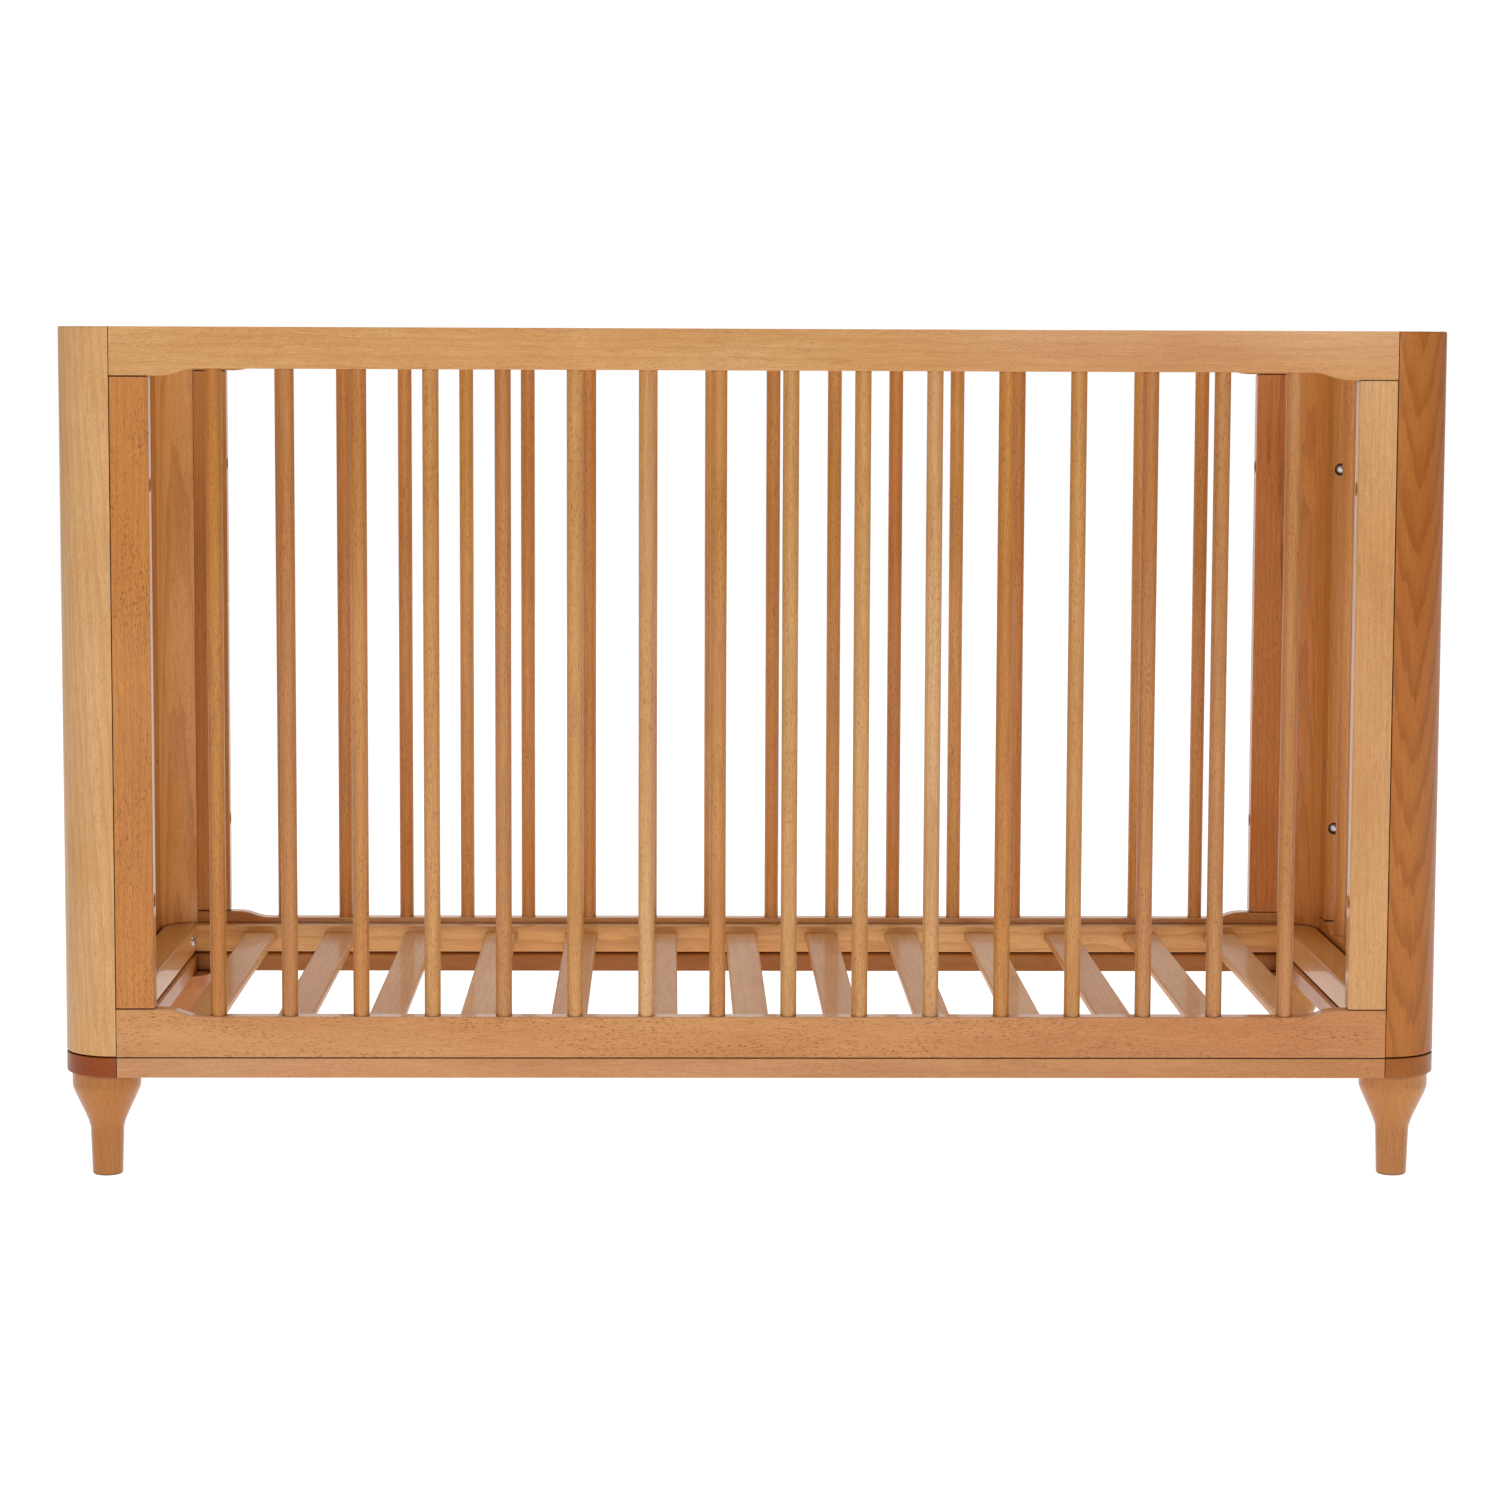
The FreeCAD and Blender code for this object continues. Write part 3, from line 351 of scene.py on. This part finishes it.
def zinc_steel():
    """Bright zinc plate, faintly blotched, with a very fine unevenness."""
    material = bpy.data.materials.new("zinc_steel")
    material.use_nodes = True
    material.node_tree.nodes.clear()
    tree = Tree(material.node_tree)
    source = tree.add("ShaderNodeTexCoord")
    fine = tree.noise(source.outputs["Object"], detail=4.0, scale=900.0)
    broad = tree.noise(source.outputs["Object"], detail=2.0, scale=220.0)
    shader = tree.add("ShaderNodeBsdfPrincipled")
    shader.inputs["Metallic"].default_value = 1.0
    colour = tree.mix(broad, (0.42, 0.43, 0.45), (0.60, 0.60, 0.60))
    tree.feed(shader.inputs["Base Color"], colour)
    tree.feed(shader.inputs["Roughness"], tree.step(broad, 0.3, 0.7, 0.16, 0.30))
    bump = tree.add("ShaderNodeBump")
    bump.inputs["Strength"].default_value = 0.15
    bump.inputs["Distance"].default_value = 0.0001
    tree.feed(bump.inputs["Height"], fine)
    tree.feed(shader.inputs["Normal"], bump.outputs["Normal"])
    leave = tree.add("ShaderNodeOutputMaterial")
    tree.feed(leave.inputs["Surface"], shader.outputs["BSDF"])
    return material


# ---------------------------------------------------------------- which board is which

LIGHT_BEECH = tone(205, 152, 98)
HONEY_BEECH = tone(199, 142, 90)
ORANGE_BEECH = tone(193, 130, 74)

# each board's tone, the way its grain runs, and what else sets it apart, crevice being how strongly painted
# shade darkens its crevices
BOARDS = {
    "front_top_rail": (
        tone(208, 158, 107), "x", dict(far=tone(203, 149, 98), flecks=0.3, figure=0.5, ring_width=9),
    ),
    "front_bottom_rail": (tone(198, 141, 92), "x", dict(far=tone(193, 132, 86), flecks=0.8, figure=0.3)),
    "back_top_rail": (tone(202, 147, 95), "x", dict(flecks=0.3, figure=0.6)),
    "back_bottom_rail": (tone(196, 137, 85), "x", dict(flecks=0.4, figure=0.6)),
    "left_top_rail": (HONEY_BEECH, "y", dict(flecks=0.4)),
    "left_bottom_rail": (ORANGE_BEECH, "y", dict(flecks=0.4)),
    "right_top_rail": (HONEY_BEECH, "y", dict(flecks=0.4)),
    "right_bottom_rail": (ORANGE_BEECH, "y", dict(flecks=0.4)),
    "front_stile_left": (tone(197, 133, 72), "z", dict(flecks=0.9, figure=0.7)),
    "front_stile_right": (tone(207, 158, 110), "z", dict(flecks=0.3, figure=0.45)),
    "back_stile_left": (tone(200, 141, 88), "z", dict(flecks=0.4, figure=0.7)),
    "back_stile_right": (tone(210, 139, 88), "z", dict(flecks=0.4, figure=0.7, streak=0.7)),
    "left_stile_front": (HONEY_BEECH, "z", dict(flecks=0.4, figure=0.7)),
    "left_stile_back": (ORANGE_BEECH, "z", dict(flecks=0.4, figure=0.7)),
    "right_stile_front": (HONEY_BEECH, "z", dict(flecks=0.4, figure=0.7)),
    "right_stile_back": (ORANGE_BEECH, "z", dict(flecks=0.4, figure=0.7)),
    "front_left_post": (
        tone(211, 163, 117),
        "z",
        dict(heart=(-0.715, -0.33), taper=0.05, ring_width=9, gloss=0.2, flecks=0.2, figure=0.6),
    ),
    "front_right_post": (
        tone(180, 116, 70),
        "z",
        dict(heart=(0.683, -0.352), taper=-0.14, ring_width=10, gloss=0.2, flecks=0.2, figure=1.4),
    ),
    # the back posts' tones are their wood's own tone painted lighter: painted light standing in for light
    # that falls short inside the crib
    "back_left_post": (
        tone(236, 176, 114),
        "z",
        dict(heart=(-0.71, 0.39), taper=0.05, ring_width=14, flecks=0.3, figure=1.2),
    ),
    "back_right_post": (
        tone(216, 146, 86),
        "z",
        dict(heart=(0.71, 0.39), taper=0.04, flecks=0.3, figure=1.2),
    ),
    "front_left_plinth_block": (tone(150, 83, 42), "x", dict(gloss=0.25, flecks=0.3, figure=0.5)),
    "front_right_plinth_block": (tone(161, 101, 58), "x", dict(gloss=0.25, flecks=0.3, figure=0.5)),
    "back_left_plinth_block": (tone(154, 95, 52), "x", dict(gloss=0.25, flecks=0.3)),
    "back_right_plinth_block": (tone(160, 101, 57), "x", dict(gloss=0.25, flecks=0.3)),
    "plinth_front_rail": (tone(196, 142, 101), "x", dict(far=tone(187, 129, 83), flecks=0.3, figure=0.4)),
    "plinth_back_rail": (tone(160, 107, 64), "x", dict(gloss=0.3, flecks=0.3)),
    "plinth_left_rail": (tone(172, 114, 68), "y", dict(gloss=0.2, flecks=0.3)),
    "plinth_right_rail": (tone(172, 114, 68), "y", dict(gloss=0.2, flecks=0.3)),
    "base_left_end": (tone(196, 138, 84), "y", dict(gloss=0.3, flecks=0.3, figure=0.6, crevice=0.25)),
    "base_right_end": (tone(196, 138, 84), "y", dict(gloss=0.3, flecks=0.3, figure=0.6, crevice=0.25)),
    "base_front_rail": (tone(196, 140, 90), "x", dict(flecks=0.3, figure=0.9, crevice=0.25)),
    "base_back_rail": (tone(208, 155, 100), "x", dict(flecks=0.2, figure=1.4, ring_width=8, crevice=0.25)),
}
FOOT_TONES = {
    "front_left": tone(178, 121, 69),
    "front_right": tone(182, 123, 73),
    "back_left": tone(182, 121, 72),
    "back_right": tone(182, 124, 66),
}

# each spindle's tone, from left to right or from front to back; the spindles at the back and the sides have
# tones painted lighter than their wood, painted light for the light that falls short inside the crib
ORANGE = tone(191, 130, 72)
DULL = tone(188, 131, 84)
MIDDLE = tone(194, 135, 82)
HONEY = tone(200, 148, 95)
PALE = tone(207, 158, 111)
# two wood tones painted lighter, painted light for the spindles at the back and the sides
RUDDY_AND_PAINTED_LIGHT = tone(206, 140, 84)
AMBER_AND_PAINTED_LIGHT = tone(213, 151, 92)
FRONT_SPINDLES = (
    ORANGE, DULL, MIDDLE, HONEY, DULL, HONEY, PALE, MIDDLE,
    HONEY, HONEY, PALE, ORANGE, HONEY, DULL, DULL, DULL,
)
BACK_SPINDLES = (
    AMBER_AND_PAINTED_LIGHT, RUDDY_AND_PAINTED_LIGHT, RUDDY_AND_PAINTED_LIGHT, AMBER_AND_PAINTED_LIGHT, RUDDY_AND_PAINTED_LIGHT, RUDDY_AND_PAINTED_LIGHT, AMBER_AND_PAINTED_LIGHT, AMBER_AND_PAINTED_LIGHT,
    RUDDY_AND_PAINTED_LIGHT, AMBER_AND_PAINTED_LIGHT, RUDDY_AND_PAINTED_LIGHT, AMBER_AND_PAINTED_LIGHT, RUDDY_AND_PAINTED_LIGHT, RUDDY_AND_PAINTED_LIGHT, AMBER_AND_PAINTED_LIGHT, RUDDY_AND_PAINTED_LIGHT,
)
LEFT_SPINDLES = (HONEY, AMBER_AND_PAINTED_LIGHT, AMBER_AND_PAINTED_LIGHT, RUDDY_AND_PAINTED_LIGHT, AMBER_AND_PAINTED_LIGHT, RUDDY_AND_PAINTED_LIGHT, AMBER_AND_PAINTED_LIGHT)
RIGHT_SPINDLES = (HONEY, RUDDY_AND_PAINTED_LIGHT, AMBER_AND_PAINTED_LIGHT, RUDDY_AND_PAINTED_LIGHT, AMBER_AND_PAINTED_LIGHT, AMBER_AND_PAINTED_LIGHT, RUDDY_AND_PAINTED_LIGHT)

# the axis that each row runs along (0 is X, 1 is Y) and its tones
SPINDLES = {
    "front_spindles": (0, FRONT_SPINDLES),
    "back_spindles": (0, BACK_SPINDLES),
    "left_spindles": (1, LEFT_SPINDLES),
    "right_spindles": (1, RIGHT_SPINDLES),
}
SLAT_TONES = (tone(207, 152, 102), tone(212, 158, 109), tone(203, 145, 95))
METAL = ("stile_bolts", "stile_bolt_inserts", "base_bolts", "base_inserts", "foot_studs", "plinth_screws")


def give(node, material):
    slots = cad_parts[node].material_slots
    if not slots:
        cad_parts[node].data.materials.append(material)
    for slot in slots:
        slot.material = material


def spindle_pitch(node, axis, count):
    """The distance from one spindle to the next, from the box round the whole row."""
    low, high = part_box(node)
    diameter = high[1 - axis] - low[1 - axis]
    return (high[axis] - low[axis] - diameter) / (count - 1)


def add_materials():
    for node, (colour, grain, floats) in BOARDS.items():
        give(node, beech("beech_" + node, colour, grain, **floats))
    for corner, colour in FOOT_TONES.items():
        node = corner + "_foot"
        give(node, beech("beech_" + node, colour, "z", flecks=0.35, figure=0.5))
    # crevice sets how strongly painted shade darkens the crevices of spindles and slats
    for node, (axis, tones) in SPINDLES.items():
        each = (axis, spindle_pitch(node, axis, len(tones)), tones)
        give(node, beech("beech_" + node, None, "z", each=each, flecks=0.6, figure=0.6, crevice=0.3))
    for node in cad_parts:
        if node.startswith("base_slat_"):
            colour = SLAT_TONES[int(node[-2:]) % len(SLAT_TONES)]
            give(node, beech("beech_" + node, colour, "y", gloss=0.14, flecks=0.3, figure=0.6, crevice=0.2))
    give("plinth_dowels", beech("beech_dowels", LIGHT_BEECH, "x", flecks=0.3))
    steel = zinc_steel()
    for node in METAL:
        give(node, steel)


# ---------------------------------------------------------------- studio

# each lamp's place, what it points at, its size and its power
LAMPS = {
    "key_left": ((-2.0, -8.2, 2.6), (0.0, 0.0, 0.45), (3.0, 3.0), 138),
    "key_right": ((2.2, -8.2, 2.3), (0.1, 0.0, 0.45), (3.0, 3.0), 108),
    "overhead": ((0.0, 0.2, 3.4), (0.0, 0.0, 0.3), (2.6, 1.8), 34),
    "behind": ((-1.0, 6.5, 6.0), (0.0, 0.0, 0.45), (3.0, 3.0), 80),
}

# how bright the white surround is to the camera, and to a reflection from the front and the sides
SEEN_WHITE = 1.02
FRONT_REFLECTED = 0.45
SIDE_REFLECTED = 0.30
# how bright it is as a source of light, from the front and from elsewhere
FRONT_FILL = 0.40
OTHER_FILL = 0.12

FLOOR_REACH = 9.0
FLOOR_DROP = 0.0005
FLOOR_GLOW = 0.93


def area_light(name, place, target, size, power):
    data = bpy.data.lights.new(name, "AREA")
    data.shape = "RECTANGLE"
    data.size, data.size_y = size
    data.energy = power
    light = bpy.data.objects.new(name, data)
    scene.collection.objects.link(light)
    light.location = place
    light.rotation_euler = (Vector(target) - Vector(place)).to_track_quat("-Z", "Y").to_euler()


def add_world():
    """White all round for the camera and for reflections, and dimmer as a source of light."""
    world = bpy.data.worlds.new("studio")
    scene.world = world
    world.use_nodes = True
    world.node_tree.nodes.clear()
    tree = Tree(world.node_tree)
    path = tree.add("ShaderNodeLightPath").outputs
    source = tree.add("ShaderNodeTexCoord")
    split = tree.add("ShaderNodeSeparateXYZ")
    tree.feed(split.inputs["Vector"], source.outputs["Generated"])
    aside = tree.maths("ABSOLUTE", split.outputs["X"])
    reflected = tree.step(split.outputs["Y"], -0.3, 0.1, FRONT_REFLECTED, 1.0)
    reflected = tree.maths("MULTIPLY", reflected, tree.step(aside, 0.25, 0.65, 1.0, SIDE_REFLECTED))
    frontal = tree.step(split.outputs["Y"], -0.95, -0.15, FRONT_FILL, OTHER_FILL)
    strength = tree.blend(path["Is Glossy Ray"], SEEN_WHITE, reflected)
    strength = tree.blend(path["Is Diffuse Ray"], strength, frontal)
    sky = tree.add("ShaderNodeBackground")
    tree.feed(sky.inputs["Color"], (1, 1, 1))
    tree.feed(sky.inputs["Strength"], strength)
    leave = tree.add("ShaderNodeOutputWorld")
    tree.feed(leave.inputs["Surface"], sky.outputs["Background"])


def add_floor():
    mesh = bpy.data.meshes.new("studio_floor")
    corners = [(x * FLOOR_REACH, y * FLOOR_REACH, 0) for x, y in ((-1, -1), (1, -1), (1, 1), (-1, 1))]
    mesh.from_pydata(corners, [], [(0, 1, 2, 3)])
    floor = bpy.data.objects.new("studio_floor", mesh)
    scene.collection.objects.link(floor)
    material = bpy.data.materials.new("studio_floor")
    material.use_nodes = True
    material.node_tree.nodes.clear()
    tree = Tree(material.node_tree)
    source = tree.add("ShaderNodeTexCoord")
    grain = tree.noise(source.outputs["Object"], detail=3.0, scale=40.0)
    shader = tree.add("ShaderNodeBsdfPrincipled")
    tree.feed(shader.inputs["Base Color"], tree.mix(grain, (0.50, 0.50, 0.50), (0.54, 0.54, 0.54)))
    shader.inputs["Roughness"].default_value = 0.8
    shader.inputs["Specular IOR Level"].default_value = 0.1
    shader.inputs["Emission Color"].default_value = (1, 1, 1, 1)
    shader.inputs["Emission Strength"].default_value = FLOOR_GLOW
    leave = tree.add("ShaderNodeOutputMaterial")
    tree.feed(leave.inputs["Surface"], shader.outputs["BSDF"])
    mesh.materials.append(material)
    floor.location.z = -FLOOR_DROP


add_camera()
add_materials()
add_world()
add_floor()
for lamp, settings in LAMPS.items():
    area_light(lamp, *settings)
